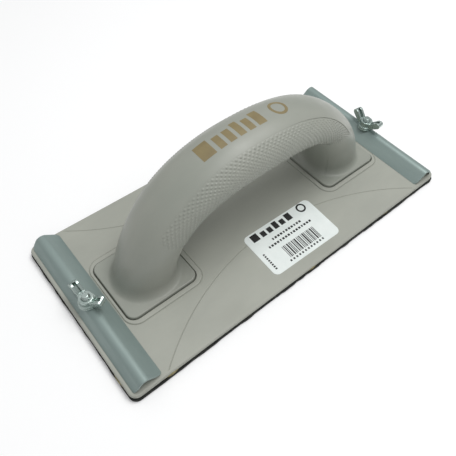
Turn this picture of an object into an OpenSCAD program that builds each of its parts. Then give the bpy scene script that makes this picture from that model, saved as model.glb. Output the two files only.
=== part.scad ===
// Sanding block. A flat plate carries an arched handle above it and a sole below it.
// At each end a folded sheet-metal clamp, drawn down by a wing nut, holds the abrasive sheet.
// Frame: origin in the middle of the sole's underside, +X along the length, +Z up.
// "Left" is the -X end and "right" the +X end. All sizes are in millimetres.

/* [Sole] */
// Length of the sole
sole_l = 210; // [205:1:215]
// Width of the sole
sole_w = 100; // [98:1:104]
// Thickness of the sole
sole_t = 2; // [1.6:0.1:3]
// Corner radius of the sole
sole_corner = 4.5; // [3:0.5:8]
// Thickness of the glue layer under the plate
glue_t = 0.3; // [0.2:0.1:0.5]

/* [Base plate] */
// How far the sole stands out beyond the plate on each side
plate_inset = 0.7; // [0.3:0.1:1.2]
// Thickness of the plate in its flat middle
plate_t = 2.5; // [2.4:0.1:3]
// Fall of the plate's top towards the middle of each long edge
edge_fall = 1; // [0.4:0.1:1.4]
// Radius of the crease where that fall begins
crease_r = 137; // [130:1:145]
// Distance of the crease from the centre line at its nearest
crease_near = 18.5; // [18:0.5:24]
// Height of the raised pad round each handle foot
pad_h = 0.4; // [0.2:0.1:0.6]
// Border of the pad outside the handle's plinth
pad_border = 3; // [2.5:0.1:3.2]

/* [Handle] */
// Half of the handle's outside length at its feet
arch_out_x = 80.6; // [79:0.2:82]
// Height of the handle's top above its plinths
arch_out_z = 60.3; // [56:0.1:64]
// Half of the hand gap's length at the feet
arch_in_x = 49.4; // [48:0.2:51]
// Height of the hand gap above the plinths
arch_in_z = 36.3; // [33:0.1:38]
// Width of the grip in the middle
grip_w = 33.2; // [30:0.2:35]
// Width of each foot of the handle
foot_w = 29.6; // [28:0.2:32]
// Wall of the hollow handle
handle_wall = 2.4; // [2:0.1:3]
// Radius of the blend between a foot and its plinth
foot_blend = 3.6; // [2:0.1:4]
// Length of each plinth
plinth_l = 39.3; // [38:0.1:40]
// Width of each plinth
plinth_w = 37.4; // [36:0.1:38]
// Distance from the block's middle to each plinth's middle
plinth_x = 65.65; // [65.5:0.05:65.8]
// Height of the plinth's top above the plate
plinth_rise = 1.5; // [1:0.1:1.8]
// Groove between each plinth and its pad
plinth_groove = 0.5; // [0.3:0.1:0.8]

/* [Clamps] */
// Distance from the block's middle to each clamp bolt
bolt_x = 96.4; // [96.2:0.1:96.6]
// Length of each clamp across the block
clamp_l = 95.5; // [90:0.5:97]
// Thickness of the clamp's sheet metal
clamp_t = 1; // [0.8:0.1:1]
// Height of the clamp from its feet to its crest
clamp_h = 5.75; // [5.6:0.05:6]
// Outside radius of the clamp's crest
crest_r = 4; // [3.8:0.1:4.2]
// Slope of the clamp's outer flank
flank_out = 55; // [54:1:58]
// Slope of the clamp's inner flank
flank_in = 39; // [38:1:41]
// Gap under the clamp's feet when it is down
clamp_gap = 0.1; // [0.1:0.05:0.2]

/* [Fasteners] */
// Thread radius of the clamp bolts (M4)
bolt_r = 2; // [2]
// Length of each clamp bolt under its head
bolt_l = 12; // [12]
// Direction of the left nut's first wing, in degrees from +X
left_nut_turn = 97; // [0:1:359]
// Direction of the right nut's first wing, in degrees from +X
right_nut_turn = 83; // [0:1:359]
// Turn from the left nut's first wing to its second, which is bent a little
left_wing_spread = 203; // [170:1:205]
// Turn from the right nut's first wing to its second
right_wing_spread = 193; // [170:1:205]
// Distance from a nut's axis to its wing tips
wing_reach = 10; // [9.5:0.1:10.5]
// Height of the wing tips above the nut's base
wing_h = 7.4; // [7.2:0.1:8.4]
// Length of the handle screws
screw_l = 14; // [10:1:14]

/* [Label] */
// Length of the label
label_l = 46; // [40:0.5:48]
// Width of the label
label_w = 27.5; // [24:0.5:28]
// Position of the label's middle on the plate
label_at = [8, -29];
// Turn of the label on the plate
label_turn = -1; // [-3:0.5:3]
// Thickness of the label
label_t = 0.15; // [0.1:0.05:0.2]

/* [Hidden] */
$fn = 64;
EPS = 0.5;
LEFT = -1;
RIGHT = 1;
NEAR = -1;
FAR = 1;

// Levels above the surface that the block stands on
plate_z = sole_t + glue_t;
plate_top = plate_z + plate_t;
plinth_top = plate_top + plinth_rise;
plinth_z = plate_top - 0.3;
clamp_foot_z = plate_top + clamp_gap;
crest_z = clamp_foot_z + clamp_h;

// The plate's outline and the cone that its long edges fall along
plate_l = sole_l - 2 * plate_inset;
plate_w = sole_w - 2 * plate_inset;
plate_corner = sole_corner - plate_inset / 2;
crease_y = crease_near + crease_r;
crease_fall = edge_fall * crease_r / (crease_r - crease_y + plate_w / 2);
pad_corner = 7;
plinth_corner = 4.5;
plinth_inner_x = plinth_x - plinth_l / 2;
pad_inner_x = plinth_inner_x - pad_border;
pad_outer_x = 87.2;

// The ridge under each clamp
ridge_l = 88;
ridge_gap = 0.35;
CREST_STEPS = 14;

// The arch of the handle: superellipse exponents of its outer and inner outline
out_px = 2.4;
out_pz = 1.5;
in_px = 4;
in_pz = 2.1;
section_power = 2.1;
BISECTIONS = 24;
ARCH_STATIONS = 26;
blend_angle = 5;
BLEND_STATIONS = 3;
foot_sink = 0.8;
seam_angle = 140;
seam_slack = 0.6;
SHELL_STEPS = 20;
LINER_STEPS = 8;
station_angles = concat(
    [for (i = [0:BLEND_STATIONS - 1]) i * blend_angle / BLEND_STATIONS],
    [for (i = [0:ARCH_STATIONS]) blend_angle + i * (180 - 2 * blend_angle) / ARCH_STATIONS],
    [for (i = [1:BLEND_STATIONS]) 180 - blend_angle + i * blend_angle / BLEND_STATIONS]
);

// Handle screws (3.5 mm) and their bosses
screw_r = 1.75;
screw_head_r = 3.3;
screw_head_h = 1.9;
screw_x = 65;
screw_y = 6.6;
boss_r = 3.5;
boss_top = 19;
screw_z = plate_z + 0.05;
screw_clear = 0.05;

// M4 hexagon bolt, washer and wing nut
head_flats = 7;
head_h = 2.8;
head_clear = 0.1;
head_sink = 0.4;
bolt_z = plate_z + head_sink;
bolt_hole_r = bolt_r + 0.15;
clamp_hole_r = bolt_r + 0.3;
bolt_chamfer = 0.5;
washer_in_r = 2.15;
washer_r = 4.5;
washer_t = 0.8;
stack_gap = 0.03;
washer_z = crest_z + stack_gap;
nut_z = washer_z + washer_t + stack_gap;
nut_bore_r = bolt_r + 0.07;
nut_flange_r = 4.3;
nut_flange_h = 1;
nut_hub_r = 3.5;
nut_hub_h = 4.2;
wing_w = 4.2;
wing_channel = 1.5;
wing_wall = 1.1;

// ---- Plane shapes ----

module rounded_rect(l, w, r) {
    square([l - 2 * r, w], center = true);
    square([l, w - 2 * r], center = true);
    for (x = [-1, 1], y = [-1, 1])
        translate([x * (l / 2 - r), y * (w / 2 - r)])
            circle(r);
}

// Everything inside a surface that lies "inset" under the clamp's outside, down to "low":
// the inner flank, the round crest and the outer flank.
// x is measured from the block's middle and y upwards.
module arch_shape(inset, low) {
    r = crest_r - inset;
    centre = [bolt_x, crest_z - crest_r];
    crest = [
        for (i = [0:CREST_STEPS])
            let (a = flank_in - i * (flank_in + flank_out) / CREST_STEPS)
            centre + r * [-sin(a), cos(a)]
    ];
    start = crest[0];
    end = crest[CREST_STEPS];
    foot_in = [start.x - (start.y - low) / tan(flank_in), low];
    foot_out = [end.x + (end.y - low) / tan(flank_out), low];
    polygon(concat([foot_in], crest, [foot_out]));
}

// A prism of that shape across the block, at the given end
module arch_prism(side, inset, low, length) {
    mirror([side == LEFT ? 1 : 0, 0, 0])
        rotate([90, 0, 0])
            linear_extrude(height = length, center = true)
                arch_shape(inset, low);
}

// ---- The handle's surface ----

function signed_power(v, p) = sign(v) * pow(abs(v), p);

// Distance from the arch's centre to a superellipse, along the ray at angle phi
function ray_length(phi, rx, rz, px, pz, low = 0, high = 120, left = BISECTIONS) =
    let (mid = (low + high) / 2)
    left == 0 ? mid :
    pow(abs(mid * cos(phi)) / rx, px) + pow(mid * sin(phi) / rz, pz) < 1
        ? ray_length(phi, rx, rz, px, pz, mid, high, left - 1)
        : ray_length(phi, rx, rz, px, pz, low, mid, left - 1);

// The blend grows the section towards the plinth like a quarter circle
function blend_at(phi) =
    let (rise = max(0, 1 - min(phi, 180 - phi) / blend_angle))
    foot_blend * (1 - sqrt(1 - rise * rise));

// [middle of the section, half its thickness, half its width] at angle phi
function section_at(phi) =
    let (
        outer = ray_length(phi, arch_out_x, arch_out_z, out_px, out_pz),
        inner = ray_length(phi, arch_in_x, arch_in_z, in_px, in_pz),
        half_w = (foot_w + (grip_w - foot_w) * pow(sin(phi), 0.8)) / 2
    )
    [(outer + inner) / 2, (outer - inner) / 2, half_w];

// A point of the section at angle phi. u runs round the section from the handle's outside.
function arch_point(phi, u, grow, z) =
    let (
        s = section_at(phi),
        r = s[0] + (s[1] + grow) * signed_power(cos(u), 2 / section_power),
        y = (s[2] + grow) * signed_power(sin(u), 2 / section_power)
    )
    [r * cos(phi), y, z + r * sin(phi)];

// One closed ring: out along the outside from u0 to u1, and back along the inside
function arch_ring(phi, u0, u1, steps, z) = concat(
    [for (i = [0:steps]) arch_point(phi, u0 + i * (u1 - u0) / steps, blend_at(phi), z)],
    [for (i = [steps:-1:0]) arch_point(phi, u0 + i * (u1 - u0) / steps, -handle_wall, z)]
);

// The curved wall of the handle between u0 and u1, from foot to foot
module arch_wall(u0, u1, steps) {
    n = 2 * (steps + 1);
    last = len(station_angles) - 1;
    rings = concat(
        [arch_ring(0, u0, u1, steps, plinth_top - foot_sink)],
        [for (phi = station_angles) arch_ring(phi, u0, u1, steps, plinth_top)],
        [arch_ring(180, u0, u1, steps, plinth_top - foot_sink)]
    );
    count = last + 3;
    points = [for (ring = rings) each ring];
    sides = [
        for (i = [0:count - 2], j = [0:n - 1])
            [i * n + j, (i + 1) * n + j, (i + 1) * n + (j + 1) % n, i * n + (j + 1) % n]
    ];
    first_cap = [for (j = [0:steps - 1]) [j, j + 1, n - 2 - j, n - 1 - j]];
    end = (count - 1) * n;
    last_cap = [for (j = [0:steps - 1]) [end + n - 1 - j, end + n - 2 - j, end + j + 1, end + j]];
    polyhedron(points, concat(sides, first_cap, last_cap), convexity = 6);
}

// ---- Sole and plate ----

module sole_pad() {
    color("#24271f")
        linear_extrude(height = sole_t)
            rounded_rect(sole_l, sole_w, sole_corner);
}

module pad_adhesive() {
    color("#8c7f4a")
        translate([0, 0, sole_t])
            linear_extrude(height = glue_t)
                rounded_rect(plate_l, plate_w, plate_corner);
}

// The cones that the plate's top falls along, one for each long edge
module edge_falls(lift) {
    stretch = 1 + EPS / crease_fall;
    for (side = [NEAR, FAR])
        translate([0, side * crease_y, plate_top - crease_fall + lift])
            cylinder(h = crease_fall * stretch, r1 = 0, r2 = crease_r * stretch, $fn = 180);
}

module plinth_block(side, z, height, grow) {
    translate([side * plinth_x, 0, z])
        linear_extrude(height = height)
            rounded_rect(plinth_l + 2 * grow, plinth_w + 2 * grow, plinth_corner + grow);
}

module pad_block(side) {
    pad_l = pad_outer_x - pad_inner_x;
    translate([side * (pad_inner_x + pad_l / 2), 0, plate_top - EPS])
        linear_extrude(height = pad_h + EPS)
            rounded_rect(pad_l, plinth_w + 2 * pad_border, pad_corner);
}

// The hole for one clamp bolt, with the hexagonal pocket that keeps its head from turning
module bolt_hole(side) {
    translate([side * bolt_x, 0, 0]) {
        cylinder(h = crest_z + EPS, r = bolt_hole_r);
        translate([0, 0, plate_z - EPS])
            rotate([0, 0, 30])
                cylinder(h = head_sink + head_h + head_clear + EPS,
                    r = (head_flats / 2 + head_clear) / cos(30), $fn = 6);
    }
}

// The hole for one handle screw, countersunk from below
module screw_hole(x, y) {
    translate([x, y, plate_z]) {
        translate([0, 0, -EPS])
            cylinder(h = plate_t + 2 * EPS, r = screw_r + 0.15);
        cylinder(h = screw_head_h, r1 = screw_head_r + 0.1, r2 = screw_r + 0.1);
    }
}

module base_plate() {
    color("#a0a298")
        difference() {
            union() {
                difference() {
                    translate([0, 0, plate_z])
                        linear_extrude(height = plate_t)
                            rounded_rect(plate_l, plate_w, plate_corner);
                    edge_falls(0);
                }
                for (side = [LEFT, RIGHT]) {
                    pad_block(side);
                    arch_prism(side, clamp_t + ridge_gap, plate_top - EPS, ridge_l);
                }
            }
            for (side = [LEFT, RIGHT]) {
                plinth_block(side, plinth_z, plate_t, plinth_groove);
                bolt_hole(side);
                for (row = [NEAR, FAR])
                    screw_hole(side * screw_x, row * screw_y);
            }
        }
}

// ---- Handle ----

module handle_shell() {
    color("#a3a39a")
        union() {
            arch_wall(-seam_angle, seam_angle, SHELL_STEPS);
            difference() {
                for (side = [LEFT, RIGHT]) {
                    plinth_block(side, plinth_z, plinth_top - plinth_z, 0);
                    for (row = [NEAR, FAR])
                        translate([side * screw_x, row * screw_y, plinth_z])
                            cylinder(h = boss_top - plinth_z, r = boss_r);
                }
                for (side = [LEFT, RIGHT], row = [NEAR, FAR])
                    translate([side * screw_x, row * screw_y, plinth_z - EPS])
                        cylinder(h = screw_l, r = screw_r + screw_clear);
            }
        }
}

module handle_liner() {
    start = seam_angle + seam_slack;
    color("#9b9b92")
        difference() {
            arch_wall(start, 360 - start, LINER_STEPS);
            translate([-sole_l / 2, -sole_w / 2, 0])
                cube([sole_l, sole_w, plinth_top]);
        }
}

// Countersunk screw. Its thread is drawn as a plain rod.
module handle_screw(side, row) {
    color("#b9bcb6")
        translate([side * screw_x, row * screw_y, screw_z]) {
            cylinder(h = screw_head_h - 0.1, r1 = screw_head_r, r2 = screw_r);
            translate([0, 0, screw_head_h - 0.1])
                cylinder(h = screw_l - screw_head_h, r = screw_r);
        }
}

// ---- Clamps ----

module clamp(side) {
    foot_out_x = bolt_x + crest_r * sin(flank_out)
        + (clamp_h - crest_r + crest_r * cos(flank_out)) / tan(flank_out);
    foot_in_x = bolt_x - crest_r * sin(flank_in)
        - (clamp_h - crest_r + crest_r * cos(flank_in)) / tan(flank_in);
    color("#7f9492")
        difference() {
            intersection() {
                arch_prism(side, 0, clamp_foot_z, clamp_l);
                translate([side * (foot_out_x + foot_in_x) / 2, 0, 0])
                    linear_extrude(height = crest_z + EPS)
                        rounded_rect(foot_out_x - foot_in_x, clamp_l, 1.8);
            }
            arch_prism(side, clamp_t, clamp_foot_z - EPS, clamp_l + 2 * EPS);
            translate([side * bolt_x, 0, 0])
                cylinder(h = crest_z + EPS, r = clamp_hole_r);
        }
}

// Hexagon bolt that stands head down in the plate
module clamp_bolt(side) {
    color("#c3c9c6")
        translate([side * bolt_x, 0, bolt_z]) {
            rotate([0, 0, 30])
                cylinder(h = head_h, r = head_flats / 2 / cos(30), $fn = 6);
            cylinder(h = head_h + bolt_l - bolt_chamfer, r = bolt_r);
            translate([0, 0, head_h + bolt_l - bolt_chamfer])
                cylinder(h = bolt_chamfer, r1 = bolt_r, r2 = bolt_r - bolt_chamfer);
        }
}

module washer(side) {
    color("#cfd6d2")
        translate([side * bolt_x, 0, washer_z])
            difference() {
                cylinder(h = washer_t, r = washer_r);
                translate([0, 0, -EPS])
                    cylinder(h = washer_t + 2 * EPS, r = washer_in_r);
            }
}

// One wing, pointing along +X: sheet folded into a U that is closed at the tip
module wing() {
    rotate([90, 0, 0])
        difference() {
            linear_extrude(height = wing_w, center = true)
                polygon([
                    [2.5, 0.5], [4.6, 0.8], [wing_reach - 0.7, wing_h - 3.3],
                    [wing_reach - 0.2, wing_h - 2.6], [wing_reach, wing_h - 1.8],
                    [wing_reach - 0.3, wing_h - 0.9], [wing_reach - 0.9, wing_h - 0.3],
                    [wing_reach - 1.7, wing_h], [wing_reach - 2.6, wing_h - 0.1],
                    [wing_reach - 3.4, wing_h - 0.5], [3.4, nut_hub_h - 0.4],
                    [2.5, nut_hub_h - 0.4]
                ]);
            linear_extrude(height = wing_channel, center = true)
                polygon([
                    [nut_hub_r + 0.1, 1.9], [4.9, 1.9],
                    [wing_reach - wing_wall - 0.7, wing_h - 2.8],
                    [wing_reach - wing_wall - 0.5, wing_h + EPS],
                    [nut_hub_r + 0.1, wing_h + EPS]
                ]);
        }
}

module wing_nut(side, turn, spread) {
    color("#bcc6c3")
        translate([side * bolt_x, 0, nut_z])
            rotate([0, 0, turn])
                difference() {
                    union() {
                        cylinder(h = nut_flange_h, r = nut_flange_r);
                        cylinder(h = nut_hub_h, r = nut_hub_r);
                        for (turned = [0, spread])
                            rotate([0, 0, turned])
                                wing();
                    }
                    translate([0, 0, -EPS])
                        cylinder(h = nut_hub_h + 2 * EPS, r = nut_bore_r);
                }
}

// ---- Label ----

// A skin of the label's thickness that follows the plate's flat middle and its fall
module product_label() {
    color("#e4ebe8")
        difference() {
            translate([label_at.x, label_at.y, plate_z + EPS])
                rotate([0, 0, label_turn])
                    linear_extrude(height = plate_t - EPS + label_t)
                        rounded_rect(label_l, label_w, 3);
            edge_falls(label_t);
            difference() {
                translate([label_at.x - label_l, label_at.y - label_w, 0])
                    cube([2 * label_l, 2 * label_w, plate_top]);
                edge_falls(0);
            }
        }
}

sole_pad();
pad_adhesive();
base_plate();
handle_shell();
handle_liner();
handle_screw(LEFT, NEAR);  // handle_screw_1
handle_screw(LEFT, FAR);  // handle_screw_2
handle_screw(RIGHT, NEAR);  // handle_screw_3
handle_screw(RIGHT, FAR);  // handle_screw_4
clamp(LEFT);  // clamp_left
clamp(RIGHT);  // clamp_right
clamp_bolt(LEFT);  // clamp_bolt_left
clamp_bolt(RIGHT);  // clamp_bolt_right
washer(LEFT);  // washer_left
washer(RIGHT);  // washer_right
wing_nut(LEFT, left_nut_turn, left_wing_spread);  // wing_nut_left
wing_nut(RIGHT, right_nut_turn, right_wing_spread);  // wing_nut_right
product_label();
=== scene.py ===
"""The looks of the sanding block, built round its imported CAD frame. Sizes are in millimetres.

Near is -Y, where the label is. Left is the -X end and right the +X end. A piece is built once for
the right end and mirrored for the left.
"""

import math

import bmesh
import bpy
import numpy as np
from mathutils import Matrix, Vector
from mathutils.geometry import delaunay_2d_cdt


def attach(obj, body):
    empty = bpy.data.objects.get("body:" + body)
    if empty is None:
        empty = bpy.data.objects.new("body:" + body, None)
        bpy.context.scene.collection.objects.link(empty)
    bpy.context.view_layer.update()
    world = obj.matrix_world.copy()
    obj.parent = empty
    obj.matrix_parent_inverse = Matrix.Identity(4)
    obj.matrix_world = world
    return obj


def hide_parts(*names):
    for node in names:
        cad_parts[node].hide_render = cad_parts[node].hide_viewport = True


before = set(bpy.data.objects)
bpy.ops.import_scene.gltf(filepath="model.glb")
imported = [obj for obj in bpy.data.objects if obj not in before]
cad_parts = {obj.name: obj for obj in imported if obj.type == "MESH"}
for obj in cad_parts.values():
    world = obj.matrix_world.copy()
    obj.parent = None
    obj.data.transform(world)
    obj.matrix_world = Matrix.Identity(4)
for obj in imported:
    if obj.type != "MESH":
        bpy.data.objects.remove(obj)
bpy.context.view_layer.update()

MM = 0.001
SIDES = {"left": -1, "right": 1}
FULL_TURN = 2 * math.pi

# ---- Sizes shared with the CAD source ----

SOLE_L, SOLE_W, SOLE_T, SOLE_CORNER = 210, 100, 2, 4.5
GLUE_T = 0.3
PLATE_INSET = 0.7
PLATE_L, PLATE_W = SOLE_L - 2 * PLATE_INSET, SOLE_W - 2 * PLATE_INSET
PLATE_CORNER = SOLE_CORNER - PLATE_INSET / 2
PLATE_Z = SOLE_T + GLUE_T
PLATE_TOP = PLATE_Z + 2.5
EDGE_FALL, CREASE_R, CREASE_NEAR = 1, 137, 18.5
CREASE_Y = CREASE_NEAR + CREASE_R
CREASE_FALL = EDGE_FALL * CREASE_R / (CREASE_R - CREASE_Y + PLATE_W / 2)
PAD_H, PAD_BORDER, PAD_CORNER, PAD_OUTER_X = 0.4, 3, 7, 87.2
PAD_TOP = PLATE_TOP + PAD_H
PLINTH_L, PLINTH_W, PLINTH_X, PLINTH_CORNER = 39.3, 37.4, 65.65, 4.5
PLINTH_TOP = PLATE_TOP + 1.5
PLINTH_GROOVE = 0.5
PAD_INNER_X = PLINTH_X - PLINTH_L / 2 - PAD_BORDER

ARCH_OUT = {"x": 80.6, "z": 60.3, "px": 2.4, "pz": 1.5}
ARCH_IN = {"x": 49.4, "z": 36.3, "px": 4, "pz": 2.1}
GRIP_W, FOOT_W, HANDLE_WALL = 33.2, 29.6, 2.4
SECTION_POWER, WIDTH_POWER, BLEND_ANGLE = 2.1, 0.8, 5
SEAM_ANGLE, SEAM_SLACK = 140, 0.25
# The flare at each foot is 0.5 mm less than the CAD's, so that the plinth keeps a rounded edge
FOOT_BLEND = 3.1

BOLT_X = 96.4
CLAMP_L, CLAMP_T, CLAMP_CORNER = 95.5, 1, 1.8
CLAMP_FOOT_Z = PLATE_TOP + 0.1
CREST_R, CREST_Z = 4, CLAMP_FOOT_Z + 5.75
FLANK_OUT, FLANK_IN = math.radians(55), math.radians(39)
CLAMP_HOLE_R = 2.3
RIDGE_L, RIDGE_INSET = 88, 1.35

HEAD_Z, HEAD_H, HEAD_FLATS = PLATE_Z + 0.4, 2.8, 7
BOLT_R, BOLT_L, THREAD_PITCH = 2, 12, 0.7
WASHER_Z, WASHER_T, WASHER_IN_R, WASHER_R = CREST_Z + 0.03, 0.8, 2.15, 4.5

LABEL_L, LABEL_W, LABEL_CORNER, LABEL_T = 46, 27.5, 3, 0.15
LABEL_AT, LABEL_TURN = (8, -29), math.radians(-1)


# ---- Mesh building ----

# Triangles of less than this (twice their area, in square mm) are rounding slivers
SLIVER = 1e-4
WELD = 0.002
SHARP_ANGLE = math.radians(38)


class Shape:
    """Points and faces of one piece while it is built. Points that meet are welded at the end."""

    def __init__(self):
        self.points = []
        self.faces = []

    def add(self, points):
        start = len(self.points)
        self.points.extend(tuple(float(c) for c in p) for p in points)
        return list(range(start, len(self.points)))

    def strip(self, rings, closed=True):
        """Quads between rings that have as many points each."""
        rows = [self.add(ring) for ring in rings]
        count = len(rows[0])
        for low, high in zip(rows, rows[1:]):
            for j in range(count if closed else count - 1):
                k = (j + 1) % count
                self.faces.append((low[j], low[k], high[k], high[j]))

    def cap(self, ring):
        self.faces.append(tuple(self.add(ring)))

    def fill(self, outer, holes, height, extra=(), lines=()):
        """Triangles inside a flat loop and outside its holes, lifted to a height function."""
        flat, edges = [], []
        for loop in [outer, *holes]:
            first = len(flat)
            flat.extend(loop)
            edges.extend((first + i, first + (i + 1) % len(loop)) for i in range(len(loop)))
        for line in lines:
            first = len(flat)
            flat.extend(line)
            edges.extend((first + i, first + i + 1) for i in range(len(line) - 1))
        flat.extend(extra)
        made = delaunay_2d_cdt([Vector(p) for p in flat], edges, [], 0, 1e-6)
        spots = np.array([tuple(v) for v in made[0]])
        corners = np.array(made[2])
        middles = spots[corners].mean(axis=1)
        (ax, ay), (bx, by) = (spots[corners[:, k]].T - spots[corners[:, 0]].T for k in (1, 2))
        keep = inside(middles, outer) & (np.abs(ax * by - ay * bx) > SLIVER)
        for hole in holes:
            keep &= ~inside(middles, hole)
        ids = self.add(np.column_stack([spots, height(spots)]))
        self.faces.extend(tuple(ids[i] for i in face) for face in corners[keep])

    def mirrored(self):
        other = Shape()
        other.points = [(-x, y, z) for x, y, z in self.points]
        other.faces = [tuple(reversed(face)) for face in self.faces]
        return other


def inside(points, polygon):
    """Whether each point lies inside a flat polygon."""
    x, y = points[:, 0], points[:, 1]
    result = np.zeros(len(points), bool)
    start = np.array(polygon, float)
    for (x0, y0), (x1, y1) in zip(start, np.roll(start, -1, axis=0)):
        if y0 != y1:
            crosses = (y0 > y) != (y1 > y)
            result ^= crosses & (x < (x1 - x0) * (y - y0) / (y1 - y0) + x0)
    return result


def distance_to(points, loop):
    """Distance from each point to the nearest point of a loop."""
    gaps = points[:, None, :] - np.asarray(loop)[None, :, :]
    return np.sqrt((gaps**2).sum(axis=2)).min(axis=1)


def rounded_ring(centre, length, width, radius, inset=0.0, counts=(60, 30, 8)):
    """A rounded rectangle's points. counts are the steps along, across and round each corner."""
    along, across, corner = counts
    half_l, half_w, r = length / 2 - radius, width / 2 - radius, radius - inset
    corners = [
        (half_l, half_w, 0.0, along),
        (-half_l, half_w, 0.5, across),
        (-half_l, -half_w, 1.0, along),
        (half_l, -half_w, 1.5, across),
    ]
    points = []
    for i, (x, y, start, steps) in enumerate(corners):
        for k in range(corner + 1):
            angle = math.pi * (start + 0.5 * k / corner)
            points.append((x + r * math.cos(angle), y + r * math.sin(angle)))
        next_x, next_y, next_start, _ = corners[(i + 1) % 4]
        end = (
            next_x + r * math.cos(math.pi * next_start),
            next_y + r * math.sin(math.pi * next_start),
        )
        last = points[-1]
        for k in range(1, steps):
            share = k / steps
            points.append(tuple(a + (b - a) * share for a, b in zip(last, end)))
    return np.array(points) + np.array(centre)


def lifted(flat, z):
    """Flat points at a height, which is one number or one for each point."""
    return np.column_stack([flat, np.broadcast_to(z, len(flat))])


def level(z):
    """A height function that is z everywhere, for Shape.fill."""
    return lambda flat: np.full(len(flat), float(z))


def circle(centre, radius, steps=40):
    angles = np.arange(steps) * FULL_TURN / steps
    return np.column_stack(
        [centre[0] + radius * np.cos(angles), centre[1] + radius * np.sin(angles)]
    )


def grid_inside(loop, step, holes=(), clear=0.8):
    """Evenly spread points inside a loop, clear of it and of its holes."""
    loop = np.asarray(loop)
    low, high = loop.min(axis=0), loop.max(axis=0)
    xs, ys = np.arange(low[0], high[0], step), np.arange(low[1], high[1], step)
    spots = np.array([(x, y) for x in xs for y in ys])
    keep = inside(spots, loop) & (distance_to(spots, loop) > clear)
    for hole in holes:
        keep &= ~inside(spots, hole) & (distance_to(spots, hole) > clear)
    return spots[keep]


def make_piece(name, shape, body, material, replaced=()):
    """One named piece, welded, and smooth but for its sharp edges."""
    mesh = bpy.data.meshes.new(name)
    mesh.from_pydata([tuple(MM * c for c in p) for p in shape.points], [], shape.faces)
    work = bmesh.new()
    work.from_mesh(mesh)
    bmesh.ops.remove_doubles(work, verts=work.verts, dist=WELD * MM)
    bmesh.ops.dissolve_degenerate(work, dist=WELD * MM / 10, edges=work.edges)
    loose = [v for v in work.verts if not v.link_faces]
    bmesh.ops.delete(work, geom=loose, context="VERTS")
    bmesh.ops.recalc_face_normals(work, faces=work.faces)
    work.to_mesh(mesh)
    work.free()
    mesh.polygons.foreach_set("use_smooth", [True] * len(mesh.polygons))
    mesh.set_sharp_from_angle(angle=SHARP_ANGLE)
    mesh.materials.append(material)
    piece = bpy.data.objects.new(name, mesh)
    bpy.context.scene.collection.objects.link(piece)
    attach(piece, body)
    if replaced:
        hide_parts(*replaced)


def wobble(angles, size, waves):
    """A fixed uneven line between 0 and size, for edges that aren't cut clean."""
    total = sum(math.sin(phase) + np.sin(angles * turns + phase) for turns, phase in waves)
    return size * (0.5 + 0.5 * np.sin(total))


# ---- Materials ----

NOISE_ROUGHNESS = 0.55


class Finish:
    """A material's node tree, built step by step round one Principled shader."""

    def __init__(self, name, roughness, metallic=0.0, specular=0.5):
        self.material = bpy.data.materials.new(name)
        self.material.use_nodes = True
        self.nodes = self.material.node_tree.nodes
        self.links = self.material.node_tree.links
        self.shader = self.nodes["Principled BSDF"]
        self.shader.inputs["Roughness"].default_value = roughness
        self.shader.inputs["Metallic"].default_value = metallic
        self.shader.inputs["Specular IOR Level"].default_value = specular
        self.place = self.nodes.new("ShaderNodeTexCoord")

    def noise(self, scale, detail=3.0, stretch=(1, 1, 1)):
        mapping = self.nodes.new("ShaderNodeMapping")
        mapping.inputs["Scale"].default_value = stretch
        self.links.new(self.place.outputs["Object"], mapping.inputs["Vector"])
        texture = self.nodes.new("ShaderNodeTexNoise")
        texture.inputs["Scale"].default_value = scale
        texture.inputs["Detail"].default_value = detail
        texture.inputs["Roughness"].default_value = NOISE_ROUGHNESS
        self.links.new(mapping.outputs["Vector"], texture.inputs["Vector"])
        return texture.outputs["Fac"]

    def ranged(self, value, low, high, from_low=0.3, from_high=0.7):
        node = self.nodes.new("ShaderNodeMapRange")
        node.inputs["From Min"].default_value = from_low
        node.inputs["From Max"].default_value = from_high
        node.inputs["To Min"].default_value = low
        node.inputs["To Max"].default_value = high
        self.links.new(value, node.inputs["Value"])
        return node.outputs["Result"]

    def mixed(self, share, first, second):
        node = self.nodes.new("ShaderNodeMix")
        node.data_type = "RGBA"
        self.links.new(share, node.inputs[0])
        for socket, colour in ((6, first), (7, second)):
            if isinstance(colour, tuple):
                node.inputs[socket].default_value = (*colour, 1)
            else:
                self.links.new(colour, node.inputs[socket])
        return node.outputs[2]

    def colour(self, value):
        self.links.new(value, self.shader.inputs["Base Color"])

    def gloss(self, value):
        self.links.new(value, self.shader.inputs["Roughness"])

    def bump(self, value, height):
        """Relief of that height in millimetres."""
        node = self.nodes.new("ShaderNodeBump")
        node.inputs["Strength"].default_value = 1
        node.inputs["Distance"].default_value = height * MM
        self.links.new(value, node.inputs["Height"])
        self.links.new(node.outputs["Normal"], self.shader.inputs["Normal"])


def linear(red, green, blue):
    """A screen colour, 0 to 255, as the linear colour that shaders take."""
    return tuple(
        c / 255 / 12.92 if c <= 10 else ((c / 255 + 0.055) / 1.055) ** 2.4
        for c in (red, green, blue)
    )


def moulded_plastic(name, light, dark, grain_height, roughness):
    """Satin moulded plastic: faint flow marks, a fine spark-eroded grain and rubbed patches."""
    finish = Finish(name, roughness, specular=0.4)
    flow = finish.ranged(finish.noise(22, 4, (1, 2.2, 1)), 0, 1)
    specks = finish.ranged(finish.noise(900, 2), 0, 1, 0.35, 0.75)
    base = finish.mixed(flow, light, dark)
    finish.colour(finish.mixed(finish.ranged(specks, 0, 0.12, 0, 1), base, dark))
    finish.gloss(finish.ranged(finish.noise(60, 4), roughness - 0.08, roughness + 0.1))
    finish.bump(finish.noise(2600, 2), grain_height)
    return finish.material


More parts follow.
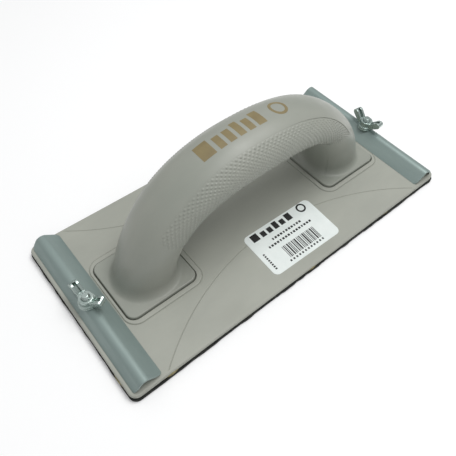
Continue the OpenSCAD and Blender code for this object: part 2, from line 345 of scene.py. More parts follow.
def zinc(name, metallic, light, dark, roughness, streak, relief):
    """Zinc-plated metal: cloudy colour, streaks along the rolled sheet and fine scratches."""
    finish = Finish(name, roughness, metallic, specular=0.5)
    clouds = finish.ranged(finish.noise(70, 5, streak), 0, 1)
    finish.colour(finish.mixed(clouds, light, dark))
    finish.gloss(finish.ranged(finish.noise(260, 4, streak), roughness - 0.1, roughness + 0.12))
    finish.bump(finish.noise(900, 4, streak), relief)
    return finish.material


def rubber():
    finish = Finish("sole_black_rubber", 0.8, specular=0.25)
    dust = finish.ranged(finish.noise(240, 5), 0, 1, 0.45, 0.8)
    finish.colour(finish.mixed(dust, linear(30, 32, 29), linear(58, 60, 54)))
    finish.gloss(finish.ranged(finish.noise(90, 3), 0.7, 0.92))
    finish.bump(finish.noise(1500, 4), 0.12)
    return finish.material


def dried_glue():
    finish = Finish("dried_contact_glue", 0.45, specular=0.5)
    clouds = finish.ranged(finish.noise(500, 4), 0, 1)
    finish.colour(finish.mixed(clouds, linear(150, 138, 84), linear(96, 90, 54)))
    finish.gloss(finish.ranged(finish.noise(300, 3), 0.3, 0.6))
    finish.bump(finish.noise(700, 3), 0.15)
    return finish.material


def film(name, light, dark, roughness):
    """Coated paper or print: nearly even, with a faint fibre."""
    finish = Finish(name, roughness, specular=0.5)
    finish.colour(finish.mixed(finish.ranged(finish.noise(160, 4), 0, 1), light, dark))
    finish.gloss(finish.ranged(finish.noise(90, 3), roughness - 0.06, roughness + 0.08))
    finish.bump(finish.noise(1200, 2), 0.01)
    return finish.material


PLATE_PLASTIC = moulded_plastic(
    "plate_moulded_plastic", linear(166, 168, 158), linear(156, 158, 149), 0.02, 0.52
)
HANDLE_PLASTIC = moulded_plastic(
    "handle_moulded_plastic", linear(156, 158, 149), linear(145, 149, 140), 0.02, 0.38
)
SHEET_ZINC = zinc(
    "galvanised_sheet", 0.4, linear(147, 162, 158), linear(129, 145, 142), 0.48, (1, 0.16, 1), 0.02
)
BRIGHT_ZINC = zinc(
    "bright_zinc", 0.9, linear(196, 208, 203), linear(156, 172, 167), 0.27, (1, 1, 1), 0.02
)
BLACK_RUBBER = rubber()
GLUE = dried_glue()
LABEL_PAPER = film("label_paper", linear(232, 238, 235), linear(224, 231, 228), 0.42)
LABEL_INK = film("label_ink", linear(7, 7, 7), linear(12, 12, 12), 0.5)
GOLD_INK = film("gold_ink", linear(140, 127, 90), linear(126, 113, 80), 0.45)


# ---- Sole and glue ----

# The sole's cut edge from its underside up, as (inset, z), and how unevenly it is cut
SOLE_PROFILE = ((0.35, 0), (0.08, 0.12), (0, 0.45), (0.12, 1.2), (0.02, 1.75), (0.2, SOLE_T))
SOLE_UNEVEN = 0.4
SOLE_WAVES = ((7, 0.4), (17, 1.3), (31, 2.2), (53, 0.9))
OUTLINE_COUNTS = (150, 70, 12)
# The glue's edge, as (outward, outward in a dab, z, rise in a dab)
GLUE_PROFILE = (
    (-0.25, 0.45, 0, 0),
    (-0.15, 0.75, 0.12, 0.1),
    (-0.2, 0.65, 0.26, 0.75),
    (-0.4, 0.1, 0.3, 1.0),
)
# Where glue is squeezed out, as (x, y, size, half width)
GLUE_DABS = (
    (-104.3, -37, 1.0, 3.0),
    (-83.9, -49.3, 1.0, 2.6),
    (3.4, -49.3, 0.8, 2.2),
    (61, -49.3, 0.45, 2.0),
    (-35, 49.3, 0.7, 3.0),
    (72, 49.3, 0.5, 2.0),
    (104.3, 21, 0.6, 2.4),
)


def turn_of(flat):
    return np.arctan2(flat[:, 1], flat[:, 0])


def outward(flat, inset_ring):
    """Flat unit directions from an inset ring to the ring itself."""
    step = flat - inset_ring
    return step / np.linalg.norm(step, axis=1, keepdims=True)


def sole_shape():
    shape = Shape()
    edge = rounded_ring((0, 0), SOLE_L, SOLE_W, SOLE_CORNER, 0, OUTLINE_COUNTS)
    inner = rounded_ring((0, 0), SOLE_L, SOLE_W, SOLE_CORNER, 1, OUTLINE_COUNTS)
    away = outward(edge, inner)
    uneven = wobble(turn_of(edge), SOLE_UNEVEN, SOLE_WAVES)
    rings = []
    for k, (inset, z) in enumerate(SOLE_PROFILE):
        cut = uneven * (1 - 0.25 * math.sin(2.1 * k))
        cut[uneven < 0.02] = 0
        rings.append(lifted(edge - away * (inset + cut)[:, None], z))
    shape.strip(rings)
    shape.fill(rings[0][:, :2], [], level(0), grid_inside(inner, 12))
    shape.fill(rings[-1][:, :2], [], level(SOLE_T), grid_inside(inner, 12))
    return shape


def glue_shape():
    """The glue layer, squeezed out into dabs at the edge in a few places."""
    shape = Shape()
    edge = rounded_ring((0, 0), PLATE_L, PLATE_W, PLATE_CORNER, 0, OUTLINE_COUNTS)
    inner = rounded_ring((0, 0), PLATE_L, PLATE_W, PLATE_CORNER, 1, OUTLINE_COUNTS)
    away = outward(edge, inner)
    dab = np.zeros(len(edge))
    for x, y, size, half_width in GLUE_DABS:
        reach = np.hypot(edge[:, 0] - x, edge[:, 1] - y) / half_width
        dab = np.maximum(dab, size * np.exp(-(reach**2)))
    rings = []
    for still, spread, z, rise in GLUE_PROFILE:
        out = still + spread * dab
        rings.append(lifted(edge + away * out[:, None], SOLE_T + z + rise * dab))
    shape.strip(rings)
    shape.strip([rings[-1], lifted(inner, SOLE_T + GLUE_T)])
    shape.fill(inner, [], level(SOLE_T + GLUE_T), grid_inside(inner, 15))
    shape.fill(rings[0][:, :2], [], level(SOLE_T), grid_inside(inner, 15))
    return shape


# ---- Base plate ----

EDGE_ROUND, EDGE_STEPS, EDGE_HOLD = 0.7, 4, 1.3
NOTCH_HALF, NOTCH_DEPTH = 0.3, 0.32
# Each as (outward, up): the pad's edge with a fine line at its foot, and the groove's lip
PAD_PROFILE = (
    (0.9, 0), (0.5, 0), (0.22, -0.3), (0.04, -0.1), (0, 0.16), (-0.08, 0.3), (-0.26, 0.38),
    (-0.5, 0.4),
)
GROOVE_LIP = ((0.64, 0), (0.4, 0), (0.2, -0.07), (0.12, -0.26))
GROOVE_FLOOR = PLATE_Z + 0.6
PAD_COUNTS = (24, 24, 14)


def crease_distance(flat):
    """Distance from the middle of the nearer crease's circle."""
    return np.hypot(flat[:, 0], np.abs(flat[:, 1]) - CREASE_Y)


def plate_height(flat):
    """Top of the plate: flat in its middle, and falling beyond the crease."""
    inward = 1 - crease_distance(flat) / CREASE_R
    return PLATE_TOP - CREASE_FALL * np.maximum(0, inward)


def notched_height(flat):
    """Top of the plate with the fine groove along each crease."""
    share = np.abs(crease_distance(flat) - CREASE_R) / NOTCH_HALF
    return plate_height(flat) - NOTCH_DEPTH * np.maximum(0, 1 - share)


def crease_lines(limit, radii):
    """Arcs along both creases, cut short of a loop."""
    lines = []
    for side in (-1, 1):
        for radius in radii:
            angles = np.linspace(-0.72, 0.72, 161)
            arc = np.column_stack(
                [radius * np.sin(angles), side * (CREASE_Y - radius * np.cos(angles))]
            )
            lines.append(arc[inside(arc, limit) & (distance_to(arc, limit) > 0.5)])
    return lines


def arch_height(x, inset):
    """Height of the surface that lies inset under the right clamp's outside, at that x."""
    r = CREST_R - inset
    across = np.asarray(x, float) - BOLT_X
    centre_z = CREST_Z - CREST_R
    low, high = -r * math.sin(FLANK_IN), r * math.sin(FLANK_OUT)
    crest = centre_z + np.sqrt(np.maximum(r**2 - across**2, 0))
    inner = centre_z + r * math.cos(FLANK_IN) - (low - across) * math.tan(FLANK_IN)
    outer = centre_z + r * math.cos(FLANK_OUT) - (across - high) * math.tan(FLANK_OUT)
    return np.where(across < low, inner, np.where(across > high, outer, crest))


def arch_feet(inset, z):
    """Where that surface comes down to z: its inner and outer x."""
    r = CREST_R - inset
    drop_in = CREST_Z - CREST_R + r * math.cos(FLANK_IN) - z
    drop_out = CREST_Z - CREST_R + r * math.cos(FLANK_OUT) - z
    inner = BOLT_X - r * math.sin(FLANK_IN) - drop_in / math.tan(FLANK_IN)
    outer = BOLT_X + r * math.sin(FLANK_OUT) + drop_out / math.tan(FLANK_OUT)
    return inner, outer


def ridge_outline(inset, low):
    """The ridge's cross-section as points (x, z), from its inner foot over the crest."""
    inner, outer = arch_feet(inset, low)
    xs = np.linspace(inner, outer, 40)
    return [(x, z) for x, z in zip(xs, arch_height(xs, inset))]


def add_ridge(shape, side):
    low = PLATE_TOP - 0.3
    rings = []
    for y, shrink in ((-1, 0.3), (-0.993, 0), (0, 0), (0.993, 0), (1, 0.3)):
        outline = ridge_outline(RIDGE_INSET + shrink, low)
        rings.append([(side * x, y * RIDGE_L / 2, z) for x, z in outline])
    shape.strip(rings)
    shape.cap(rings[0])
    shape.cap(rings[-1])


def pad_loops(side):
    """The pad's rings from its foot up to its top, and the groove's from its lip to its floor."""
    length = PAD_OUTER_X - PAD_INNER_X
    centre = (side * (PAD_INNER_X + length / 2), 0)
    width = PLINTH_W + 2 * PAD_BORDER
    pad = [
        lifted(rounded_ring(centre, length, width, PAD_CORNER, -grow, PAD_COUNTS), PLATE_TOP + z)
        for grow, z in PAD_PROFILE
    ]
    middle = (side * PLINTH_X, 0)
    groove = [
        lifted(
            rounded_ring(
                middle, PLINTH_L, PLINTH_W, PLINTH_CORNER, -PLINTH_GROOVE - grow, PAD_COUNTS
            ),
            PAD_TOP + z,
        )
        for grow, z in GROOVE_LIP
    ]
    groove.append(lifted(groove[-1][:, :2], GROOVE_FLOOR))
    return pad, groove


def plate_shape():
    shape = Shape()
    rings = []
    for inset, z in ((0.25, 0), (0, 0.25)):
        flat = rounded_ring((0, 0), PLATE_L, PLATE_W, PLATE_CORNER, inset, OUTLINE_COUNTS)
        rings.append(lifted(flat, PLATE_Z + z))
    for k in range(EDGE_STEPS + 1):
        angle = math.pi / 2 * k / EDGE_STEPS
        inset = EDGE_ROUND * (1 - math.cos(angle))
        flat = rounded_ring((0, 0), PLATE_L, PLATE_W, PLATE_CORNER, inset, OUTLINE_COUNTS)
        rings.append(lifted(flat, plate_height(flat) - EDGE_ROUND * (1 - math.sin(angle))))
    flat = rounded_ring((0, 0), PLATE_L, PLATE_W, PLATE_CORNER, EDGE_HOLD, OUTLINE_COUNTS)
    rings.append(lifted(flat, plate_height(flat)))
    shape.strip(rings)
    top_loop = rings[-1][:, :2]
    pads = [pad_loops(side) for side in SIDES.values()]
    for pad, groove in pads:
        shape.strip(pad)
        shape.strip(groove)
        shape.fill(pad[-1][:, :2], [groove[0][:, :2]], level(PAD_TOP))
        shape.fill(groove[-1][:, :2], [], level(GROOVE_FLOOR))
    holes = [pad[0][:, :2] for pad, _ in pads]
    radii = [CREASE_R + NOTCH_HALF * k for k in (-2.5, -1, 0, 1, 2.5)]
    spread = grid_inside(top_loop, 4, holes)
    spread = spread[np.abs(crease_distance(spread) - CREASE_R) > 1.6]
    shape.fill(top_loop, holes, notched_height, spread, crease_lines(top_loop, radii))
    shape.fill(
        rings[0][:, :2],
        [],
        level(PLATE_Z),
        grid_inside(rings[0][:, :2], 15),
    )
    for side in SIDES.values():
        add_ridge(shape, side)
    return shape


# ---- Handle ----

# The grip panel's upper edge, as (angle along the arch, angle round the section) in degrees
PANEL_TOP = (
    (0, 72), (28, 64), (36, 55.5), (46.5, 45), (53.5, 40.5), (62, 38), (70, 36.5),
    (90, 35), (110, 34.5), (124, 36.5), (136, 39.5), (150, 40), (180, 40),
)
PANEL_LOW = 122  # its lower edge, round the section
PANEL_START, PANEL_END = 24, 152.5
PANEL_DEEP, PANEL_SHALLOW = 0.3, 0.07
# On each side: its sign, how far down the panel moves in degrees, and the dots' height
PANEL_SIDES = ((-1, 0, 0.55), (1, 16, 0.3))
# Two staggered dots in each square of so many steps, and a dot's height by steps from its tip
DOT_PERIOD = 6
DOT_PROFILE = (1.0, 0.5, 0.12, 0.0)
CROWN_STEPS, PANEL_STEPS, TAIL_STEPS, WALL_STEPS = 13, 54, 5, 14
ARCH_STEPS = 400
LIP = 0.35
PLINTH_PROFILE = (
    (0, GROOVE_FLOOR - PLINTH_TOP), (0, -0.55), (0.07, -0.3), (0.24, -0.1), (0.5, 0), (0.7, 0),
)


def superellipse_reach(phi, arch):
    """Distance from the arch's centre to one of its two outlines, along each ray."""
    low, high = np.zeros_like(phi), np.full_like(phi, 120.0)
    for _ in range(40):
        middle = (low + high) / 2
        value = np.abs(middle * np.cos(phi) / arch["x"]) ** arch["px"]
        value = value + np.abs(middle * np.sin(phi) / arch["z"]) ** arch["pz"]
        low, high = np.where(value < 1, middle, low), np.where(value < 1, high, middle)
    return low


def section_at(phi):
    """Middle, half thickness and half width of the handle's section at each angle."""
    outer, inner = superellipse_reach(phi, ARCH_OUT), superellipse_reach(phi, ARCH_IN)
    lift = np.abs(np.sin(phi)) ** WIDTH_POWER
    half_width = (FOOT_W + (GRIP_W - FOOT_W) * lift) / 2
    return (outer + inner) / 2, (outer - inner) / 2, half_width


def blend_at(phi):
    """How far the section grows into its plinth, like a quarter circle."""
    degrees = np.degrees(phi)
    rise = np.maximum(0, 1 - np.minimum(degrees, 180 - degrees) / BLEND_ANGLE)
    return FOOT_BLEND * (1 - np.sqrt(1 - rise**2))


def signed_power(value, power):
    return np.sign(value) * np.abs(value) ** power


def arch_points(phi, u, grow):
    """Points of the handle. phi runs along the arch and u round its section, in radians."""
    middle, thick, wide = section_at(phi)
    r = middle + (thick + grow) * signed_power(np.cos(u), 2 / SECTION_POWER)
    y = (wide + grow) * signed_power(np.sin(u), 2 / SECTION_POWER)
    return np.stack([r * np.cos(phi), y, PLINTH_TOP + r * np.sin(phi)], axis=-1)


def foot_stations():
    """Angles through the foot blend, close together where it is tight."""
    share = np.linspace(0, 1, 9)
    return BLEND_ANGLE * (1 - np.cos(share * math.pi / 2))


def arch_stations(steps):
    blend = foot_stations()
    middle = np.linspace(BLEND_ANGLE, 180 - BLEND_ANGLE, steps + 1)[1:-1]
    return np.radians(np.concatenate([blend, middle, 180 - blend[::-1]]))


def side_columns(phi, shift):
    """Half of the section's columns in degrees, from the crown down to the seam."""
    edge = np.interp(np.degrees(phi), *np.array(PANEL_TOP).T) + shift
    crown = [edge * k / CROWN_STEPS for k in range(CROWN_STEPS + 1)]
    panel = [
        edge + LIP + (PANEL_LOW - edge - 2 * LIP) * k / PANEL_STEPS for k in range(PANEL_STEPS + 1)
    ]
    tail = [PANEL_LOW + (SEAM_ANGLE - PANEL_LOW) * k / TAIL_STEPS for k in range(TAIL_STEPS + 1)]
    return crown + panel + tail


def panel_mask(phi, column):
    """1 inside the sunk grip panel and 0 outside it. It fades out over the right leg, and its
    left end is crisp, with a rounded upper corner."""
    degrees = np.degrees(phi)
    start = np.clip((degrees - PANEL_START - 7 * column / PANEL_STEPS) / 7, 0, 1)
    corner = 3.4 * math.exp(-column / 5)
    end = np.clip((PANEL_END - corner - degrees) / 0.45, 0, 1)
    return start**2 * (3 - 2 * start) * end


def dot_height(row, column):
    """Height of the raised dots, 0 to 1, on the mesh's own rows and columns."""
    row, column = row % DOT_PERIOD, column % DOT_PERIOD
    best = 0.0
    half = DOT_PERIOD // 2
    for centre in ((0, 0), (half, half), (DOT_PERIOD, 0), (0, DOT_PERIOD), (DOT_PERIOD,) * 2):
        away = abs(row - centre[0]) + abs(column - centre[1])
        if away < len(DOT_PROFILE):
            best = max(best, DOT_PROFILE[away])
    return best


def relief(phi, rows, dot_size):
    """Relief of each column of the outside, from the crown down to the seam."""
    heights = [np.zeros_like(phi)] * (CROWN_STEPS + 1)
    fall = np.clip((82 - np.degrees(phi)) / 22, 0, 1)
    depth = PANEL_SHALLOW + (PANEL_DEEP - PANEL_SHALLOW) * fall**2 * (3 - 2 * fall)
    for k in range(PANEL_STEPS + 1):
        dots = np.array([dot_height(row, k) for row in rows])
        fade = 1.0 if 0 < k < PANEL_STEPS else 0.0
        mask = panel_mask(phi, k)
        heights.append(mask * (dot_size * dots * fade - depth))
    return heights + [np.zeros_like(phi)] * (TAIL_STEPS + 1)


def handle_shape():
    shape = Shape()
    phi = arch_stations(ARCH_STEPS)
    blend = blend_at(phi)
    halves = []
    for direction, shift, dot_size in PANEL_SIDES:
        heights = relief(phi, range(len(phi)), dot_size)
        columns = [direction * np.radians(c) * np.ones_like(phi) for c in side_columns(phi, shift)]
        halves.append([arch_points(phi, u, blend + h) for u, h in zip(columns, heights)])
    near, far = halves
    inner_u = np.radians(np.linspace(SEAM_ANGLE, -SEAM_ANGLE, WALL_STEPS + 1))
    wall = [arch_points(phi, np.full_like(phi, u), -HANDLE_WALL) for u in inner_u]
    around = np.stack(near[::-1] + far[1:] + wall, axis=1)
    shape.strip(around)
    for side, foot in ((1, around[0]), (-1, around[-1])):
        add_plinth(shape, side, foot[:, :2])
    return shape


def add_plinth(shape, side, hole):
    """The block under one foot, with rounded upper edges."""
    middle = (side * PLINTH_X, 0)
    rings = []
    for inset, z in PLINTH_PROFILE:
        flat = rounded_ring(middle, PLINTH_L, PLINTH_W, PLINTH_CORNER, inset, PAD_COUNTS)
        rings.append(lifted(flat, PLINTH_TOP + z))
    shape.strip(rings)
    shape.fill(rings[-1][:, :2], [hole], level(PLINTH_TOP))
    shape.fill(rings[0][:, :2], [], level(GROOVE_FLOOR))


def liner_shape():
    """The palm side's insert, which closes the hollow handle with a fine seam."""
    shape = Shape()
    phi = arch_stations(150)
    start = SEAM_ANGLE + SEAM_SLACK
    angles = np.radians(np.linspace(start, 360 - start, 19))
    edge = np.full(len(angles), 1.0)
    edge[[0, -1]] = 0
    blend = blend_at(phi)
    outside = [
        arch_points(phi, np.full_like(phi, u), blend - 0.12 * (1 - e))
        for u, e in zip(angles, edge)
    ]
    inside_wall = [arch_points(phi, np.full_like(phi, u), -HANDLE_WALL) for u in angles[::-1]]
    around = np.stack(outside + inside_wall, axis=1)
    shape.strip(around)
    shape.cap(around[0])
    shape.cap(around[-1])
    return shape


# ---- Print on the handle ----

PRINT_H = 0.04
CROWN_MM_PER_PHI, CROWN_MM_PER_U = 1.13, 0.29
# Each block of the ornament: where it starts along the arch, its width, and its two edges
ORNAMENT_BLOCKS = (
    (117.2, 6.6, -10, 22), (108.6, 3.4, -10, 16), (103.4, 3.4, -10, 16), (98.2, 3.4, -10, 22),
    (93, 3.4, -10, 16), (87.8, 4.4, -10, 22),
)
# The ring after the blocks: its two angles, its radius and its width
ORNAMENT_RING = (73.5, 5.5, 4.8, 1.5)


def handle_patch(shape, phis, us):
    """A thin patch of ink on the handle's crown, between angles in degrees."""
    rows = max(2, int(abs(phis[1] - phis[0]) / 0.8) + 1)
    cols = max(2, int(abs(us[1] - us[0]) / 3) + 1)
    phi = np.radians(np.linspace(*phis, rows + 1))
    grids = []
    for grow in (PRINT_H, -PRINT_H):
        grid = [arch_points(phi, np.full_like(phi, u), grow) for u in
                np.radians(np.linspace(*us, cols + 1))]
        grids.append(np.stack(grid, axis=1))
    add_slab(shape, *grids)


def add_slab(shape, top, low, ring=False):
    """A thin closed slab from two grids of points. A ring's rows meet, so it has no ends."""
    for grid in (top, low):
        shape.strip(grid, closed=False)
    for row in (0, -1):
        shape.strip([top[row], low[row]], closed=False)
        if not ring:
            shape.strip([top[:, row], low[:, row]], closed=False)


def handle_ring(shape, phi_middle, u_middle, radius, width):
    """A ring of ink round a point of the handle's crown."""
    turns = np.arange(41) * FULL_TURN / 40
    grids = []
    for grow in (PRINT_H, -PRINT_H):
        grid = []
        for r in (radius - width, radius):
            phi = np.radians(phi_middle + r * np.cos(turns) / CROWN_MM_PER_PHI)
            u = np.radians(u_middle + r * np.sin(turns) / CROWN_MM_PER_U)
            grid.append(arch_points(phi, u, grow))
        grids.append(np.stack(grid))
    add_slab(shape, *grids, ring=True)


def handle_print_shape():
    """A generic ornament: a row of plain blocks and a ring."""
    shape = Shape()
    for start, width, low, high in ORNAMENT_BLOCKS:
        handle_patch(shape, (start, start - width), (low, high))
    handle_ring(shape, *ORNAMENT_RING)
    return shape


# ---- Clamps ----

CLAMP_COUNTS = (40, 48, 6)
RIM = 0.14
CLAMP_ROWS, EDGE_CLEAR = 40, 0.3


def clamp_shape():
    """The right clamp: sheet bent over a round crest, with a hole for its bolt."""
    shape = Shape()
    outer_feet = arch_feet(0, CLAMP_FOOT_Z)
    inner_feet = arch_feet(CLAMP_T, CLAMP_FOOT_Z)

    def sheet_ring(feet, inset):
        centre = ((feet[0] + feet[1]) / 2, 0)
        length = feet[1] - feet[0]
        return rounded_ring(centre, length, CLAMP_L, CLAMP_CORNER, inset, CLAMP_COUNTS)

    def outside(flat):
        return np.maximum(arch_height(flat[:, 0], 0), CLAMP_FOOT_Z)

    def underside(flat):
        return np.maximum(arch_height(flat[:, 0], CLAMP_T), CLAMP_FOOT_Z)

    crown = sheet_ring(outer_feet, RIM)
    rim = sheet_ring(outer_feet, 0)
    hollow = sheet_ring(inner_feet, 0.02)
    rim_z = np.maximum(outside(rim) - RIM, CLAMP_FOOT_Z)
    shape.strip([lifted(crown, outside(crown)), lifted(rim, rim_z)])
    shape.strip([lifted(rim, rim_z), lifted(hollow, underside(hollow))])
    hole = circle((BOLT_X, 0), CLAMP_HOLE_R)
    angles = np.radians(np.arange(-38, 55, 4))
    rows = np.linspace(-CLAMP_L / 2 + 1, CLAMP_L / 2 - 1, CLAMP_ROWS)
    for loop, height, r in ((crown, outside, CREST_R), (hollow, underside, CREST_R - CLAMP_T)):
        low, high = loop[:, 0].min() + 0.4, loop[:, 0].max() - 0.4
        columns = np.concatenate([BOLT_X + r * np.sin(angles), np.linspace(low, high, 9)])
        spots = np.array([(x, y) for x in columns for y in rows])
        clear = inside(spots, loop) & (distance_to(spots, loop) > EDGE_CLEAR)
        clear &= ~inside(spots, hole) & (distance_to(spots, hole) > EDGE_CLEAR)
        shape.fill(loop, [hole], height, spots[clear])
    shape.strip([lifted(hole, outside(hole)), lifted(hole, underside(hole))])
    return shape


# ---- Fasteners ----

WASHER_SOFT, WASHER_STEPS = 0.14, 56
THREAD_STEPS, THREAD_RISE, THREAD_DEPTH, BOLT_CHAMFER = 36, 0.07, 0.36, 0.55
# The bolt head from its outer face up to the shank, as (scale, z)
HEAD_PROFILE = ((0.93, 0), (1, 0.25), (1, HEAD_H - 0.25), (0.93, HEAD_H))
NUT_VOXEL, NUT_SMOOTHING, NUT_SMOOTH_STEPS = 0.13, 0.5, 5


def washer_shape():
    shape = Shape()
    low, high, soft = WASHER_Z, WASHER_Z + WASHER_T, WASHER_SOFT
    profile = [
        (WASHER_IN_R, low + soft), (WASHER_IN_R + soft, low), (WASHER_R - soft, low),
        (WASHER_R - 0.04, low + 0.04), (WASHER_R, low + soft), (WASHER_R, high - soft),
        (WASHER_R - 0.04, high - 0.04), (WASHER_R - soft, high), (WASHER_IN_R + soft, high),
        (WASHER_IN_R, high - soft),
    ]
    rings = [lifted(circle((BOLT_X, 0), r, WASHER_STEPS), z) for r, z in profile]
    shape.strip(rings + [rings[0]])
    return shape


def bolt_shape():
    """Hexagon bolt, head down, with a real helical thread up to its chamfered end."""
    shape = Shape()
    base = HEAD_Z + HEAD_H
    top = base + BOLT_L
    angles = np.arange(THREAD_STEPS) * FULL_TURN / THREAD_STEPS
    rings = []
    for z in np.arange(base - 0.5, top + THREAD_RISE / 2, THREAD_RISE):
        turn = ((z - base) / THREAD_PITCH - angles / FULL_TURN) % 1
        r = BOLT_R - THREAD_DEPTH * np.clip(1.25 * np.abs(2 * turn - 1) - 0.12, 0, 1)
        r = np.minimum(r, BOLT_R - max(0.0, z - (top - BOLT_CHAMFER)))
        x, y = BOLT_X + r * np.cos(angles), r * np.sin(angles)
        rings.append(np.column_stack([x, y, np.full(THREAD_STEPS, min(z, top))]))
    crown = rings[-1].copy()
    crown[:, :2] = (crown[:, :2] - (BOLT_X, 0)) * 0.8 + (BOLT_X, 0)
    crown[:, 2] = top
    rings.append(crown)
    shape.strip(rings)
    shape.cap(rings[0])
    shape.cap(crown)
    corner = HEAD_FLATS / 2 / math.cos(math.pi / 6)
    hexagon = circle((0, 0), corner, 6) @ np.array([[0.866, 0.5], [-0.5, 0.866]])
    hexagon[:, 0] += BOLT_X
    head = []
    for scale, z in HEAD_PROFILE:
        flat = (hexagon - (BOLT_X, 0)) * scale + (BOLT_X, 0)
        head.append(lifted(flat, HEAD_Z + z))
    shape.strip(head)
    shape.cap(head[0])
    shape.cap(head[-1])
    return shape


def finish_nut(side_name):
    """The CAD wing nut with the soft edges and even skin of a pressed and plated part."""
    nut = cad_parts["wing_nut_" + side_name]
    remesh = nut.modifiers.new("even_skin", "REMESH")
    remesh.mode = "VOXEL"
    remesh.voxel_size = NUT_VOXEL * MM
    remesh.use_smooth_shade = True
    smooth = nut.modifiers.new("soft_edges", "SMOOTH")
    smooth.factor = NUT_SMOOTHING
    smooth.iterations = NUT_SMOOTH_STEPS
    nut.data.materials.clear()
    nut.data.materials.append(BRIGHT_ZINC)


# ---- Label ----

LABEL_COUNTS = (46, 28, 8)
INK_T = 0.05
# The print's places are from the label's middle, along it and across it.
# The heading's blocks: middle along the label, width and height
HEADING_BLOCKS = (
    (-17, 4.4, 4.6), (-11.6, 3, 3.4), (-7.2, 3, 3.4), (-2.8, 3, 4.6), (1.6, 3, 3.4), (6.4, 3.6, 4.6),
)
HEADING_FOOT = 8.1
# The ring beside the heading: its middle, radius and width
HEADING_RING = (16.2, 10.6, 2.9, 1.0)
# Two rows of dashes: place across the label, and where each starts and ends along it
DASH_ROWS = ((4.3, -10.4, 10.9), (1.3, -15.2, 15.4))
DASH_PITCH = 1.9
STRIPES_START, STRIPES_END = -9.5, 13
STRIPE_WIDTHS, STRIPE_GAPS = (0.32, 0.62, 0.32, 0.9, 0.45), (0.55, 0.4, 0.75)


def on_label(flat):
    """Points given from the label's middle, turned and moved to where it is stuck."""
    c, s = math.cos(LABEL_TURN), math.sin(LABEL_TURN)
    return np.asarray(flat) @ np.array([[c, s], [-s, c]]) + np.array(LABEL_AT)


def label_shape():
    shape = Shape()
    rings = []
    for inset, z in ((0, -0.08), (0, LABEL_T - 0.03), (0.03, LABEL_T)):
        flat = on_label(
            rounded_ring((0, 0), LABEL_L, LABEL_W, LABEL_CORNER, inset, LABEL_COUNTS)
        )
        rings.append(lifted(flat, plate_height(flat) + z))
    shape.strip(rings)
    for ring, z in ((rings[-1], LABEL_T), (rings[0], -0.08)):
        loop = ring[:, :2]
        spread = grid_inside(loop, 2)
        spread = spread[np.abs(crease_distance(spread) - CREASE_R) > 0.5]
        lines = [line for line in crease_lines(loop, (CREASE_R,)) if len(line) > 1]
        shape.fill(loop, [], lambda p, z=z: plate_height(p) + z, spread, lines)
    return shape


def ink_bar(shape, x, y, length, width):
    """A printed bar whose middle is at (x, y) from the label's middle."""
    cols, rows = max(1, math.ceil(length / 1.5)), max(1, math.ceil(width / 1.5))
    grids = []
    for z in (LABEL_T + INK_T, LABEL_T - 0.03):
        grid = []
        for i in range(cols + 1):
            line = on_label(
                [
                    (x + length * (i / cols - 0.5), y + width * (j / rows - 0.5))
                    for j in range(rows + 1)
                ]
            )
            grid.append(lifted(line, plate_height(line) + z))
        grids.append(np.stack(grid))
    add_slab(shape, *grids)


def ink_ring(shape, x, y, radius, width):
    turns = np.arange(33) * FULL_TURN / 32
    grids = []
    for z in (LABEL_T + INK_T, LABEL_T - 0.03):
        grid = []
        for r in (radius - width, radius):
            line = on_label(np.column_stack([x + r * np.cos(turns), y + r * np.sin(turns)]))
            grid.append(lifted(line, plate_height(line) + z))
        grids.append(np.stack(grid))
    add_slab(shape, *grids, ring=True)


def label_print_shape():
    """Generic print: a heading of blocks and a ring, rows of dashes and a field of stripes."""
    shape = Shape()
    for x, width, height in HEADING_BLOCKS:
        ink_bar(shape, x, HEADING_FOOT + height / 2, width, height)
    ink_ring(shape, *HEADING_RING)
    for y, first, last in DASH_ROWS:
        for k in range(int((last - first) / DASH_PITCH)):
            length = 1.25 if k % 4 else 0.9
            ink_bar(shape, first + DASH_PITCH * k + 0.8, y, length, 1.25)
    x, k = STRIPES_START, 0
    while x < STRIPES_END:
        width = STRIPE_WIDTHS[k % len(STRIPE_WIDTHS)]
        ink_bar(shape, x + width / 2, -6, width, 7.6)
        x += width + STRIPE_GAPS[k % len(STRIPE_GAPS)]
        k += 1
    for k in range(12):
        ink_bar(shape, -10.6 + 2.05 * k, -11.2, 1.0, 1.1)
    for k in range(8):
        ink_bar(shape, -20, -0.4 - 1.4 * k, 1.1, 0.9)
    return shape


# ---- Put together ----

make_piece("sole", sole_shape(), "block", BLACK_RUBBER, ["sole_pad"])
make_piece("glue_layer", glue_shape(), "block", GLUE, ["pad_adhesive"])
make_piece("plate", plate_shape(), "block", PLATE_PLASTIC, ["base_plate"])
make_piece("handle", handle_shape(), "block", HANDLE_PLASTIC, ["handle_shell"])
make_piece(
    "handle_palm_insert", liner_shape(), "block", HANDLE_PLASTIC,
    ["handle_liner"],
)
make_piece("handle_ornament", handle_print_shape(), "block", GOLD_INK)
make_piece("label", label_shape(), "block", LABEL_PAPER, ["product_label"])
make_piece("label_marks", label_print_shape(), "block", LABEL_INK)
for side_name, side in SIDES.items():
    parts = (
        ("clamp", clamp_shape(), side_name + "_clamp", "zinc_sheet", SHEET_ZINC),
        ("washer", washer_shape(), side_name + "_clamp", "zinc_hardware", BRIGHT_ZINC),
        ("clamp_bolt", bolt_shape(), "block", "zinc_hardware", BRIGHT_ZINC),
    )
    for node, shape, body, slot, material in parts:
        if side < 0:
            shape = shape.mirrored()
        name = node + "_" + side_name
        make_piece(name + "_finished", shape, body, material, [name])
    finish_nut(side_name)
for number in range(1, 5):
    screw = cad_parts["handle_screw_" + str(number)]
    screw.data.materials.clear()
    screw.data.materials.append(BRIGHT_ZINC)


# ---- Floor, light and camera ----

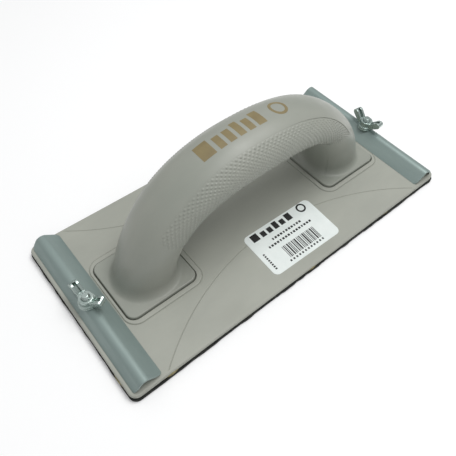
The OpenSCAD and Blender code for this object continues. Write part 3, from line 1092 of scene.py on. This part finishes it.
# Metres and degrees from here on
FLOOR_SIZE = 3.0
FLOOR_Z = -0.0001
CAMERA_TURN, CAMERA_TILT, CAMERA_ROLL = -40.709, 54.037, 1.843
CAMERA_AT = (-0.11543, -0.12031, 0.21569)
CAMERA_LENS = 38.55
SOFTBOX_AT, SOFTBOX_TARGET = (0.24, -0.1, 0.9), (0, 0, 0.02)
SOFTBOX_SIZE, SOFTBOX_POWER = (0.6, 0.4), 5
SKY_LOW, SKY_HIGH, SKY_COLOUR = 0.18, 0.68, (0.985, 0.992, 1, 1)
FLOOR_GLOW = 0.04


def make_floor():
    mesh = bpy.data.meshes.new("floor")
    half = FLOOR_SIZE / 2
    corners = [(-half, -half), (half, -half), (half, half), (-half, half)]
    mesh.from_pydata([(x, y, FLOOR_Z) for x, y in corners], [], [(0, 1, 2, 3)])
    finish = Finish("pale_floor", 0.9, specular=0.1)
    cloud = finish.ranged(finish.noise(3, 2), 0, 1)
    finish.colour(finish.mixed(cloud, (0.97, 0.97, 0.97), (0.96, 0.96, 0.96)))
    finish.shader.inputs["Emission Color"].default_value = (1, 1, 1, 1)
    finish.shader.inputs["Emission Strength"].default_value = FLOOR_GLOW
    mesh.materials.append(finish.material)
    floor = bpy.data.objects.new("floor", mesh)
    bpy.context.scene.collection.objects.link(floor)


def make_softbox():
    lamp = bpy.data.lights.new("softbox", "AREA")
    lamp.shape = "RECTANGLE"
    lamp.size, lamp.size_y = SOFTBOX_SIZE
    lamp.energy = SOFTBOX_POWER
    light = bpy.data.objects.new("softbox", lamp)
    light.location = SOFTBOX_AT
    direction = Vector(SOFTBOX_TARGET) - light.location
    light.rotation_euler = direction.to_track_quat("-Z", "Y").to_euler()
    bpy.context.scene.collection.objects.link(light)


def make_world():
    """A soft sky, bright overhead and dim at the horizon."""
    world = bpy.data.worlds.new("studio")
    world.use_nodes = True
    nodes, links = world.node_tree.nodes, world.node_tree.links
    background = nodes["Background"]
    place = nodes.new("ShaderNodeTexCoord")
    split = nodes.new("ShaderNodeSeparateXYZ")
    ramp = nodes.new("ShaderNodeMapRange")
    ramp.inputs["From Min"].default_value = 0
    ramp.inputs["From Max"].default_value = 0.9
    ramp.inputs["To Min"].default_value = SKY_LOW
    ramp.inputs["To Max"].default_value = SKY_HIGH
    links.new(place.outputs["Generated"], split.inputs["Vector"])
    links.new(split.outputs["Z"], ramp.inputs["Value"])
    links.new(ramp.outputs["Result"], background.inputs["Strength"])
    background.inputs["Color"].default_value = SKY_COLOUR
    bpy.context.scene.world = world


def make_camera():
    turn, tilt, roll = (math.radians(a) for a in (CAMERA_TURN, CAMERA_TILT, CAMERA_ROLL))
    back = Vector(
        (math.sin(turn) * math.cos(tilt), -math.cos(turn) * math.cos(tilt), math.sin(tilt))
    )
    right = Vector((0, 0, 1)).cross(back).normalized()
    up = back.cross(right)
    c, s = math.cos(roll), math.sin(roll)
    axes = Matrix((c * right + s * up, c * up - s * right, back)).transposed()
    data = bpy.data.cameras.new("camera")
    data.lens = CAMERA_LENS
    data.sensor_width = 36
    data.clip_start = 0.01
    camera = bpy.data.objects.new("camera", data)
    camera.matrix_world = Matrix.Translation(CAMERA_AT) @ axes.to_4x4()
    bpy.context.scene.collection.objects.link(camera)
    bpy.context.scene.camera = camera


make_floor()
make_softbox()
make_world()
make_camera()
bpy.context.scene.view_settings.view_transform = "Standard"
